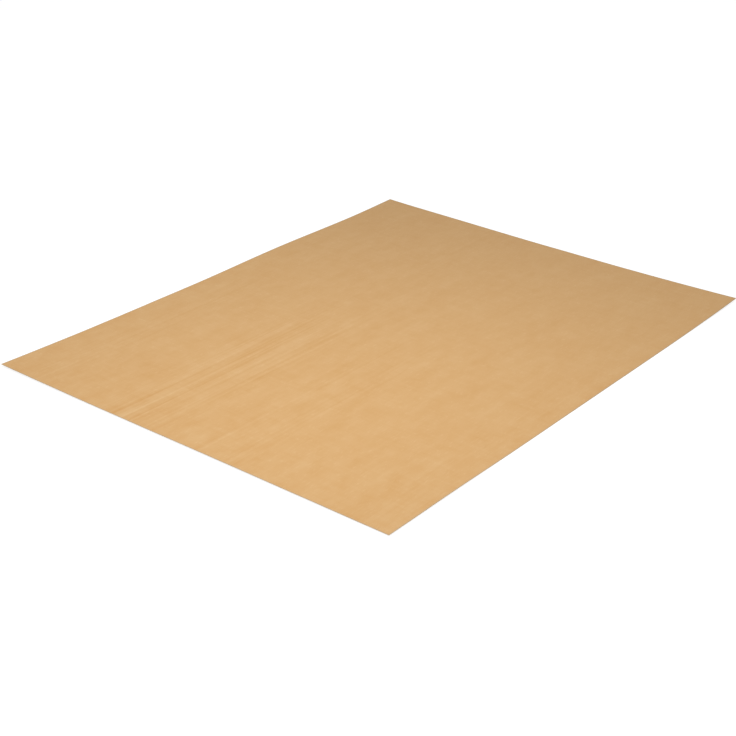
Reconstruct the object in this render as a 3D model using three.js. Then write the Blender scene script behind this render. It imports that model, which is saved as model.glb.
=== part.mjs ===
// A reusable baking mat: woven glass cloth with a PTFE coat bonded to each face, cut to a square-cornered
// rectangle. Millimetres, +Z up. The origin is the middle of the underside, X runs along the long side.
import * as THREE from "three";

// Driving dimensions, in millimetres
const matLength = 431.8; // along X, 17 inches
const matWidth = 330.2; // along Y, 13 inches
const trayCoatThickness = 0.03; // PTFE below the yarns, on the face that lies on the tray
const clothThickness = 0.07; // glass yarns, pressed flat by the coating
const foodCoatThickness = 0.03; // PTFE above the yarns, on the face that food lies on

// Finishes
const coatColour = new THREE.Color().setRGB(0.851, 0.69, 0.486, THREE.SRGBColorSpace);
const coatRoughness = 0.45; // satin
const clothColour = new THREE.Color().setRGB(0.89, 0.776, 0.612, THREE.SRGBColorSpace);
const clothRoughness = 0.7; // bare yarn ends on the cut edge
const noMetal = 0;

// One knife cut goes through all the layers, so they share this outline.
function cutOutline() {
  const outline = new THREE.Shape();
  outline.moveTo(-matLength / 2, -matWidth / 2);
  outline.lineTo(matLength / 2, -matWidth / 2);
  outline.lineTo(matLength / 2, matWidth / 2);
  outline.lineTo(-matLength / 2, matWidth / 2);
  outline.closePath();
  return outline;
}

// A layer of the mat, flat on top of whatever reaches up to its underside.
function matLayer(name, underside, thickness, material) {
  const geometry = new THREE.ExtrudeGeometry(cutOutline(), { depth: thickness, bevelEnabled: false });
  const layer = new THREE.Mesh(geometry, material);
  layer.name = name;
  layer.position.z = underside;
  return layer;
}

function coatMaterial() {
  return new THREE.MeshStandardMaterial({ color: coatColour, roughness: coatRoughness, metalness: noMetal });
}

function clothMaterial() {
  return new THREE.MeshStandardMaterial({ color: clothColour, roughness: clothRoughness, metalness: noMetal });
}

// The layers are bonded face to face: each one's underside is the top of the one below.
const trayFace = 0;
const clothUnderside = trayFace + trayCoatThickness;
const clothTop = clothUnderside + clothThickness;

const bakingMat = new THREE.Group();
bakingMat.add(matLayer("tray_side_coat", trayFace, trayCoatThickness, coatMaterial()));
bakingMat.add(matLayer("glass_cloth", clothUnderside, clothThickness, clothMaterial()));
bakingMat.add(matLayer("food_side_coat", clothTop, foodCoatThickness, coatMaterial()));

export default bakingMat;
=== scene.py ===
import math

import bpy
from mathutils import Matrix, Vector


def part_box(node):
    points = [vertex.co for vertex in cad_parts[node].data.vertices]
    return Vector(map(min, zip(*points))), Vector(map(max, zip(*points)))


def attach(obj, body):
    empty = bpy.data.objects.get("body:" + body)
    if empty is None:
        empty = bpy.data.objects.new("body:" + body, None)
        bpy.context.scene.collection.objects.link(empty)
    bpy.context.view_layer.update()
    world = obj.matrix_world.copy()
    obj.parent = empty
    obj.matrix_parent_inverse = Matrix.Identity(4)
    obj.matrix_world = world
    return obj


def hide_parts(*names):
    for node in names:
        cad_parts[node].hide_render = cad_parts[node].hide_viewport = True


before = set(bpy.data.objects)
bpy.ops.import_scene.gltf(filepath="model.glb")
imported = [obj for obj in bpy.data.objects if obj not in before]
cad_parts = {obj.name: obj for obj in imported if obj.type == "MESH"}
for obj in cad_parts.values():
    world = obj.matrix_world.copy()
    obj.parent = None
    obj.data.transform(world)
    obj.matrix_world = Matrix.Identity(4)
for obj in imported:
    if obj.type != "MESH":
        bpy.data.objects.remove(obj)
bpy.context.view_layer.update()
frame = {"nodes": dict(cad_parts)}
print("frame loaded:", ", ".join(frame["nodes"]))


# Node trees: addNode makes every node, and a Wire is a socket that takes part in sums

class Wire:
    def __init__(self, tree, socket):
        self.tree = tree
        self.socket = socket

    def maths(self, operation, *values):
        return addNode(self.tree, "ShaderNodeMath", {"operation": operation}, dict(enumerate(values)))

    def other(self, name):  # another output of the same node
        return Wire(self.tree, self.socket.node.outputs[name])

    def __add__(self, other):
        return self.maths("ADD", self, other)

    def __radd__(self, other):
        return self.maths("ADD", other, self)

    def __sub__(self, other):
        return self.maths("SUBTRACT", self, other)

    def __rsub__(self, other):
        return self.maths("SUBTRACT", other, self)

    def __mul__(self, other):
        return self.maths("MULTIPLY", self, other)

    def __rmul__(self, other):
        return self.maths("MULTIPLY", other, self)

    def __truediv__(self, other):
        return self.maths("DIVIDE", self, other)

    def __rtruediv__(self, other):
        return self.maths("DIVIDE", other, self)

    def __neg__(self):
        return self.maths("MULTIPLY", self, -1.0)

    def __abs__(self):
        return self.maths("ABSOLUTE", self)

    def __gt__(self, other):
        return self.maths("GREATER_THAN", self, other)

    def sine(self):
        return self.maths("SINE", self)

    def cosine(self):
        return self.maths("COSINE", self)

    def exp(self):
        return self.maths("EXPONENT", self)

    def atLeast(self, other):
        return self.maths("MAXIMUM", self, other)

    def atMost(self, other):
        return self.maths("MINIMUM", self, other)


def addNode(tree, kind, settings=None, sockets=None):
    made = tree.nodes.new(kind)
    for name, value in (settings or {}).items():
        setattr(made, name, value)
    for name, value in (sockets or {}).items():
        if isinstance(value, Wire):
            tree.links.new(value.socket, made.inputs[name])
        else:
            made.inputs[name].default_value = value
    return Wire(tree, made.outputs[0] if made.outputs else None)


def planXy(vector):
    apart = addNode(vector.tree, "ShaderNodeSeparateXYZ", None, {0: vector})
    return apart, apart.other("Y")


# How the mat lies: corners that curl up, ripples along the cut sides and slight cockles, in metres

lie = {
    "cell": 0.003,  # side of a mesh cell
    "curlReach": 0.085,  # how far in from a corner its curl starts
    "cornerLift": {  # by the signs of x and y at the corner
        (-1, -1): 0.0001,
        (1, -1): 0.0018,
        (1, 1): 0.0016,
        (-1, 1): 0.0012,
    },
    "ripples": {  # which side, where the crest is, its half width and height, and how far in it fades
        "farLong": {"side": (0, 1), "at": 0.073, "spread": 0.105, "height": 0.0013, "reach": 0.13},
        "nearLong": {"side": (0, -1), "at": -0.150, "spread": 0.075, "height": 0.0006, "reach": 0.09},
        "nearShort": {"side": (-1, 0), "at": 0.0, "spread": 0.330, "height": 0.0008, "reach": 0.10},
        "farShort": {"side": (1, 0), "at": 0.085, "spread": 0.080, "height": 0.0005, "reach": 0.10},
    },
    "cockleSize": 0.045,
    "cockleHeight": 0.0003,
    "cockleDetail": 1.0,
    "cockleSeed": 4.0,
}
rippleSizes = ("at", "spread", "height", "reach")
cutAngle = math.radians(45)  # a sharper edge than this is the cut, and stays crisp


def addInputs(tree, kind, names):
    for name in names:
        tree.interface.new_socket(name, in_out="INPUT", socket_type=kind)


def addLayerSockets(tree):
    tree.interface.new_socket("Geometry", in_out="OUTPUT", socket_type="NodeSocketGeometry")
    addInputs(tree, "NodeSocketGeometry", ["Geometry"])
    addInputs(tree, "NodeSocketFloat", ["Length", "Width", "Thickness", "Underside", "Curl reach"])
    addInputs(tree, "NodeSocketFloat", ["Cockle size", "Cockle height", "Cockle seed"])
    addInputs(tree, "NodeSocketInt", ["Cells along", "Cells across"])
    addInputs(tree, "NodeSocketFloat", ["Corner %+d %+d lift" % signs for signs in lie["cornerLift"]])
    for name in lie["ripples"]:
        addInputs(tree, "NodeSocketFloat", [name + " " + size for size in rippleSizes])
    addInputs(tree, "NodeSocketMaterial", ["Material"])


def cockles(given, x, y):
    spot = addNode(x.tree, "ShaderNodeCombineXYZ", None, {"X": x, "Y": y, "Z": given["Cockle seed"]})
    noise = addNode(x.tree, "ShaderNodeTexNoise", None, {
        "Vector": spot,
        "Scale": 1 / given["Cockle size"],
        "Detail": lie["cockleDetail"],
    })
    return noise * given["Cockle height"]


def curls(given, x, y):  # each bends about a line square to its corner's diagonal
    height = 0
    for signs in lie["cornerLift"]:
        beyond = (x * signs[0] + y * signs[1] - (given["Length"] + given["Width"]) / 2) / math.sqrt(2)
        share = (beyond + given["Curl reach"]).atLeast(0) / given["Curl reach"]
        height = given["Corner %+d %+d lift" % signs] * share * share + height
    return height


def ripples(given, x, y):
    height = 0
    for name, ripple in lie["ripples"].items():
        sideX, sideY = ripple["side"]
        outward = x * sideX + y * sideY
        along = x * abs(sideY) + y * abs(sideX)
        halfDepth = (given["Length"] * abs(sideX) + given["Width"] * abs(sideY)) / 2
        share = (1 - (halfDepth - outward) / given[name + " reach"]).atLeast(0)
        turn = ((along - given[name + " at"]) / given[name + " spread"]).atLeast(-1).atMost(1)
        crest = ((turn * math.pi).cosine() + 1) / 2
        height = given[name + " height"] * crest * share * share + height
    return height


def buildLayerTree():
    tree = bpy.data.node_groups.new("matLayer", "GeometryNodeTree")
    addLayerSockets(tree)
    group = addNode(tree, "NodeGroupInput")
    given = {socket.name: Wire(tree, socket) for socket in group.socket.node.outputs if socket.name}
    size = addNode(tree, "ShaderNodeCombineXYZ", None, {
        "X": given["Length"],
        "Y": given["Width"],
        "Z": given["Thickness"],
    })
    slab = addNode(tree, "GeometryNodeMeshCube", None, {
        "Size": size,
        "Vertices X": given["Cells along"] + 1,
        "Vertices Y": given["Cells across"] + 1,
        "Vertices Z": 2,
    })

    x, y = planXy(addNode(tree, "GeometryNodeInputPosition"))
    middle = given["Underside"] + given["Thickness"] / 2
    height = middle + cockles(given, x, y) + curls(given, x, y) + ripples(given, x, y)
    lift = addNode(tree, "ShaderNodeCombineXYZ", None, {"Z": height})
    laid = addNode(tree, "GeometryNodeSetPosition", None, {"Geometry": slab, "Offset": lift})
    smooth = addNode(tree, "GeometryNodeSetShadeSmooth", {"domain": "FACE"}, {"Geometry": laid})
    crisp = addNode(tree, "GeometryNodeSetShadeSmooth", {"domain": "EDGE"}, {
        "Geometry": smooth,
        "Selection": addNode(tree, "GeometryNodeInputMeshEdgeAngle") > cutAngle,
        "Shade Smooth": False,
    })
    whole = addNode(tree, "GeometryNodeRealizeInstances", None, {"Geometry": crisp})
    dressed = addNode(tree, "GeometryNodeSetMaterial", None, {
        "Geometry": whole,
        "Material": given["Material"],
    })
    addNode(tree, "NodeGroupOutput", None, {"Geometry": dressed})
    return tree


def setInputs(modifier, values):
    inputs = [item for item in modifier.node_group.interface.items_tree if item.in_out == "INPUT"]
    identifiers = {item.name: item.identifier for item in inputs}
    for name, value in values.items():
        modifier[identifiers[name]] = value


bakeMap = {  # bands of the map, as (bottom, top): the face that shows gets most of it
    "shown": (0.0, 0.76),
    "hidden": (0.78, 0.90),
    "cut": (0.92, 1.0),
    "cutSides": 4,  # each has a strip of the last band
    "cutInset": 0.1,  # share of a strip that stays free below and above
}


def unwrapLayer(mesh, length, width, shownUp):
    layer = mesh.uv_layers.new(name="OFBake")
    cutLow, cutHigh = bakeMap["cut"]
    strip = (cutHigh - cutLow) / bakeMap["cutSides"]
    for face in mesh.polygons:
        onCut = abs(face.normal.z) < math.cos(cutAngle)
        onEnd = abs(face.normal.x) > abs(face.normal.y)
        side = 2 * onEnd + (face.normal.x + face.normal.y > 0)  # which of the strips
        low, high = bakeMap["shown" if (face.normal.z > 0) == shownUp else "hidden"]
        for corner, vertex in zip(face.loop_indices, face.vertices):
            point = mesh.vertices[vertex].co
            u = point.x / length + 0.5
            v = point.y / width + 0.5
            if onCut:
                rise = 1 - bakeMap["cutInset"] if point.z > face.center.z else bakeMap["cutInset"]
                layer.data[corner].uv = (v if onEnd else u, cutLow + strip * (side + rise))
            else:
                layer.data[corner].uv = (u, low + (high - low) * v)


def makeLayer(tree, piece, material):
    low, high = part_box(piece["node"])
    length, width, thickness = high - low
    values = {
        "Length": length,
        "Width": width,
        "Thickness": thickness,
        "Underside": low.z,
        "Curl reach": lie["curlReach"],
        "Cockle size": lie["cockleSize"],
        "Cockle height": lie["cockleHeight"],
        "Cockle seed": lie["cockleSeed"],
        "Cells along": round(length / lie["cell"]),
        "Cells across": round(width / lie["cell"]),
        "Material": material,
    }
    for signs, lift in lie["cornerLift"].items():
        values["Corner %+d %+d lift" % signs] = lift
    for name, ripple in lie["ripples"].items():
        for size in rippleSizes:
            values[name + " " + size] = ripple[size]

    maker = bpy.data.objects.new("layerMaker", bpy.data.meshes.new("layerMaker"))
    bpy.context.collection.objects.link(maker)
    modifier = maker.modifiers.new("layer", "NODES")
    modifier.node_group = tree
    setInputs(modifier, values)
    mesh = bpy.data.meshes.new_from_object(maker.evaluated_get(bpy.context.evaluated_depsgraph_get()))
    bpy.data.objects.remove(maker)
    mesh.name = piece["name"]
    unwrapLayer(mesh, length, width, piece["shownUp"])
    layer = bpy.data.objects.new(piece["name"], mesh)
    bpy.context.collection.objects.link(layer)
    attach(layer, "root")
    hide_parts(piece["node"])
    print(piece["name"], "made:", len(mesh.polygons), "faces")
    return layer, (length, width)


# Finishes: sizes in metres, colours linear

def newMaterial(name):
    material = bpy.data.materials.new(name)
    material.use_nodes = True
    tree = material.node_tree
    return material, tree, tree.nodes["Principled BSDF"]


noiseMean = 0.5
mixSockets = {"factor": 0, "from": 6, "to": 7, "colour": 2}  # of a Mix node that is set to colours


def mixColours(factor, first, second):
    ends = [end if isinstance(end, Wire) else (*end, 1) for end in (first, second)]
    mix = addNode(factor.tree, "ShaderNodeMix", {"data_type": "RGBA", "clamp_factor": True}, {
        mixSockets["factor"]: factor,
        mixSockets["from"]: ends[0],
        mixSockets["to"]: ends[1],
    })
    return Wire(factor.tree, mix.socket.node.outputs[mixSockets["colour"]])


def patches(place, along, across, seed, detail=0.0):  # noise about zero, in spots of that size
    spread = addNode(place.tree, "ShaderNodeMapping", None, {
        "Vector": place,
        "Location": (seed, seed, seed),
        "Scale": (1 / along, 1 / across, 1 / along),
    })
    noise = {"Vector": spread, "Scale": 1.0, "Detail": detail}
    return addNode(place.tree, "ShaderNodeTexNoise", None, noise) - noiseMean


def relief(height):  # a slight relief, its height in metres
    return addNode(height.tree, "ShaderNodeBump", None, {"Height": height, "Distance": 1.0})


cloth = {
    "warpPitch": 0.00042,  # from one yarn along x to the next
    "weftPitch": 0.00044,  # from one yarn along y to the next
    "crossing": 3.0,  # how abruptly one yarn gives way to the other
    "crownMean": 0.64,
    "stray": 0.00125,  # how far a yarn can lie off its line
    "strayRun": 0.030,  # over about this length of it
    "strayWidth": 0.002,  # with the yarns that lie this close to it
    "straySeed": 50.0,
}


def weaveCrowns(place):  # a plain weave: 1 on the crown of the upper yarn, 0 between yarns
    x, y = planXy(place)
    weftStray = patches(place, cloth["strayWidth"], cloth["strayRun"], cloth["straySeed"])
    warpStray = patches(place, cloth["strayRun"], cloth["strayWidth"], cloth["straySeed"])
    alongWarp = ((x + weftStray * cloth["stray"]) * (math.pi / cloth["weftPitch"])).sine()
    alongWeft = ((y + warpStray * cloth["stray"]) * (math.pi / cloth["warpPitch"])).sine()
    warpOver = (alongWarp * alongWeft * cloth["crossing"] / 2 + 0.5).atLeast(0).atMost(1)
    return abs(alongWeft) * warpOver + abs(alongWarp) * (1 - warpOver)


coat = {
    "colour": (0.702, 0.4215, 0.182),
    "swing": (0.085, 0.190, 0.380),  # share by which each channel swings with the film's thickness
    "midTone": 0.5,  # halfway from the deepest tone to the palest one is the colour itself
    "ior": 1.35,
    "specular": 0.15,
    "roughness": 0.52,
    "weaveTone": 0.20,
    "weaveRelief": 0.000006,
    "mottle": {  # spots of noise: along x, across it, and what they do to the tone and the roughness
        "thread": (0.035, 0.0012, 0.13, 0.0),
        "fine": (0.014, 0.0080, 0.46, 0.10),
        "broad": (0.045, 0.0180, 0.46, 0.16),
        "weft": (0.003, 0.0250, 0.22, 0.0),
    },
    "mottleDetail": 1.6,
    "unevenNear": 1.05,  # strength of the mottling at the near short side
    "unevenFar": 0.75,  # and at the far one
    "bladeBands": {  # where the coating blade chattered: from the far long side, half width, and tone
        0.033: (0.012, 0.6),
        0.114: (0.017, 1.4),
        0.141: (0.010, 0.8),
        0.180: (0.010, 0.6),
        0.208: (0.010, 0.7),
        0.314: (0.012, 0.3),
    },
    "bladeStreaks": (0.180, 0.0028),  # streaks in such a band: along x, and across it
    "bladeDetail": 2.2,
    "bladeSeed": 7.9,  # added to the seed of the face
    "bladeRun": 0.26,  # how far they run from the near short side
    "bladeFade": 0.09,  # and over what length they fade there
    "bladeRest": 0.15,  # to this share
    "paintedGlints": (0.0045, 0.0011, 0.16),  # painted glints: short bright highlights on the yarn crowns, painted into the colour; along x, across it, and tone
    "glintAbove": 0.15,  # how far a spot of noise has to rise to be a painted glint
    "glintEdge": 0.12,  # and how much further until it is a full one
    "cutWear": 0.0012,  # this close to the cut the film is bruised, and the glass shows through
    "cutColour": (0.560, 0.390, 0.225),
    "cutRoughness": 0.10,
}


def bladeTone(place, x, y, low, high, seed):
    run = (coat["bladeRun"] - (x - low.x)) / coat["bladeFade"]
    gain = 0
    for fromSide, (halfWidth, strength) in coat["bladeBands"].items():
        away = (y - (high.y - fromSide)) / halfWidth
        gain = (-(away * away)).exp() * strength + gain
    streaks = patches(place, *coat["bladeStreaks"], seed + coat["bladeSeed"], coat["bladeDetail"])
    return streaks * gain * run.atLeast(coat["bladeRest"]).atMost(1)


# painted highlight: short bright glints of the weave, painted into the coat's tone
def paintedGlintTone(place, seed):
    along, across, strength = coat["paintedGlints"]
    rise = (patches(place, along, across, seed) - coat["glintAbove"]) / coat["glintEdge"]
    return rise.atLeast(0).atMost(1) * strength


def makeCoatMaterial(piece):
    material, tree, shader = newMaterial(piece["name"])
    place = addNode(tree, "ShaderNodeTexCoord").other("Object")
    x, y = planXy(place)
    low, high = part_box(piece["node"])
    crowns = weaveCrowns(place)
    fromCut = (high.x - abs(x)).atMost(high.y - abs(y))
    wear = (1 - fromCut / coat["cutWear"]).atLeast(0)

    tone = (crowns - cloth["crownMean"]) * coat["weaveTone"] + coat["midTone"]
    roughness = wear * coat["cutRoughness"] + (coat["roughness"] + piece["rub"])
    easing = (coat["unevenFar"] - coat["unevenNear"]) / (high.x - low.x)
    uneven = (x - low.x) * easing + coat["unevenNear"]
    seed = piece["seed"]
    for along, across, toneShare, roughShare in coat["mottle"].values():
        spots = patches(place, along, across, seed, coat["mottleDetail"])
        tone = tone + spots * uneven * toneShare
        roughness = roughness + spots * roughShare
        seed += 1
    # the last term adds painted glints (painted highlights) to the tone
    tone = tone + bladeTone(place, x, y, low, high, seed) + paintedGlintTone(place, seed)

    deep = [value * (1 - swing) for value, swing in zip(coat["colour"], coat["swing"])]
    pale = [value * (1 + swing) for value, swing in zip(coat["colour"], coat["swing"])]
    colour = mixColours(wear, mixColours(tone, deep, pale), coat["cutColour"])
    tree.links.new(colour.socket, shader.inputs["Base Color"])
    tree.links.new(roughness.socket, shader.inputs["Roughness"])
    tree.links.new(relief(crowns * coat["weaveRelief"]).socket, shader.inputs["Normal"])
    shader.inputs["IOR"].default_value = coat["ior"]
    shader.inputs["Specular IOR Level"].default_value = coat["specular"]
    return material


yarn = {
    "between": (0.42, 0.25, 0.10),  # film that fills between the cut yarns
    "end": (0.74, 0.56, 0.34),  # bare glass of a cut yarn
    "roughness": 0.70,
    "roughSwing": 0.20,
    "endRelief": 0.00001,
    "speckle": 0.0012,  # size of the spots where more or less glass shows
    "speckleDetail": 2.0,
}


def makeYarnMaterial(piece):
    material, tree, shader = newMaterial(piece["name"])
    place = addNode(tree, "ShaderNodeTexCoord").other("Object")
    crowns = weaveCrowns(place)
    speckle = patches(place, yarn["speckle"], yarn["speckle"], piece["seed"], yarn["speckleDetail"])
    colour = mixColours(crowns + speckle, yarn["between"], yarn["end"])
    roughness = speckle * yarn["roughSwing"] + yarn["roughness"]
    tree.links.new(colour.socket, shader.inputs["Base Color"])
    tree.links.new(roughness.socket, shader.inputs["Roughness"])
    tree.links.new(relief(crowns * yarn["endRelief"]).socket, shader.inputs["Normal"])
    return material


# The mat's layers, from the face that food lies on down to the one on the tray

foodCoat = {
    "name": "food_side_coat_skin",
    "node": "food_side_coat",
    "slot": "coat",
    "finish": makeCoatMaterial,
    "shownUp": True,
    "seed": 3.0,
    "rub": 0.0,
}
glassCloth = {
    "name": "glass_cloth_weave",
    "node": "glass_cloth",
    "slot": "cloth",
    "finish": makeYarnMaterial,
    "shownUp": True,
    "seed": 17.0,
}
trayCoat = {
    "name": "tray_side_coat_skin",
    "node": "tray_side_coat",
    "slot": "coat",
    "finish": makeCoatMaterial,
    "shownUp": False,
    "seed": 31.0,
    "rub": 0.06,  # roughened by sliding on the tray
}

layerTree = buildLayerTree()
for piece in (trayCoat, glassCloth, foodCoat):
    layer, flatSize = makeLayer(layerTree, piece, piece["finish"](piece))


# Floor, light and camera

studio = {
    "floorSide": 60.0,
    "floorDrop": 0.00005,  # keeps the floor clear of the mat's underside
    "floorColour": 0.8,  # as the mat is lit by it
    "seenColour": 0.34,  # as it is seen, under the glow that makes it white
    "seenGlow": 0.85,
    "seenSky": 1.0,  # white all round
    "fill": 0.455,  # light from all round
    "key": {"place": (-0.164, -0.06, 0.5), "aim": (-0.164, -0.06, 0.0), "side": 0.4, "power": 1.72},
}


def grey(value):
    return (value, value, value, 1)


def seenDirectly(tree):  # 1 where the camera, a reflection or a clear piece shows the surroundings
    camera = addNode(tree, "ShaderNodeLightPath")
    return camera.atLeast(camera.other("Is Glossy Ray")).atLeast(camera.other("Is Transmission Ray"))


def makeFloor():
    half = studio["floorSide"] / 2
    drop = -studio["floorDrop"]
    corners = [(-half, -half, drop), (half, -half, drop), (half, half, drop), (-half, half, drop)]
    mesh = bpy.data.meshes.new("floor")
    mesh.from_pydata(corners, [], [range(len(corners))])
    floor = bpy.data.objects.new("floor", mesh)
    bpy.context.collection.objects.link(floor)
    material, tree, shader = newMaterial("floorWhite")
    tree.nodes.remove(shader)
    plain = addNode(tree, "ShaderNodeBsdfDiffuse", None, {"Color": grey(studio["floorColour"])})
    shaded = addNode(tree, "ShaderNodeBsdfDiffuse", None, {"Color": grey(studio["seenColour"])})
    glow = addNode(tree, "ShaderNodeEmission", None, {"Strength": studio["seenGlow"]})
    white = addNode(tree, "ShaderNodeAddShader", None, {0: shaded, 1: glow})
    mixed = addNode(tree, "ShaderNodeMixShader", None, {0: seenDirectly(tree), 1: plain, 2: white})
    tree.links.new(mixed.socket, tree.nodes["Material Output"].inputs["Surface"])
    mesh.materials.append(material)


def surroundings(tree, strength):
    return addNode(tree, "ShaderNodeBackground", None, {"Color": grey(1), "Strength": strength})


def makeWorld():
    world = bpy.data.worlds.new("studio")
    bpy.context.scene.world = world
    world.use_nodes = True
    tree = world.node_tree
    tree.nodes.clear()
    fill = surroundings(tree, studio["fill"])
    white = surroundings(tree, studio["seenSky"])
    mixed = addNode(tree, "ShaderNodeMixShader", None, {0: seenDirectly(tree), 1: fill, 2: white})
    addNode(tree, "ShaderNodeOutputWorld", None, {"Surface": mixed})


def makeLamp(name):
    settings = studio[name]
    data = bpy.data.lights.new(name, "AREA")
    data.shape = "SQUARE"
    data.size = settings["side"]
    data.energy = settings["power"]
    lamp = bpy.data.objects.new(name, data)
    lamp.location = settings["place"]
    away = Vector(settings["aim"]) - Vector(settings["place"])
    lamp.rotation_euler = away.to_track_quat("-Z", "Y").to_euler()
    lamp.visible_camera = False
    bpy.context.collection.objects.link(lamp)


shot = {
    "aim": (-0.0568, -0.0250, 0.0003),
    "distance": 1.047,
    "azimuth": -52.36,
    "elevation": 26.21,
    "roll": 1.30,
    "lens": 75.21,
    "sensor": 36.0,
}


def makeCamera():
    data = bpy.data.cameras.new("photoView")
    data.sensor_width = shot["sensor"]
    data.lens = shot["lens"]
    camera = bpy.data.objects.new("photoView", data)
    turn = math.radians(shot["azimuth"])
    rise = math.radians(shot["elevation"])
    back = Vector((math.sin(turn) * math.cos(rise), -math.cos(turn) * math.cos(rise), math.sin(rise)))
    across = Vector((math.cos(turn), math.sin(turn), 0))
    axes = Matrix((across, back.cross(across), back)).transposed().to_4x4()
    place = Matrix.Translation(Vector(shot["aim"]) + back * shot["distance"])
    camera.matrix_world = place @ axes @ Matrix.Rotation(math.radians(shot["roll"]), 4, "Z")
    bpy.context.collection.objects.link(camera)
    bpy.context.scene.camera = camera


makeFloor()
makeWorld()
makeLamp("key")
makeCamera()
bpy.context.scene.view_settings.view_transform = "Standard"
print("studio set")
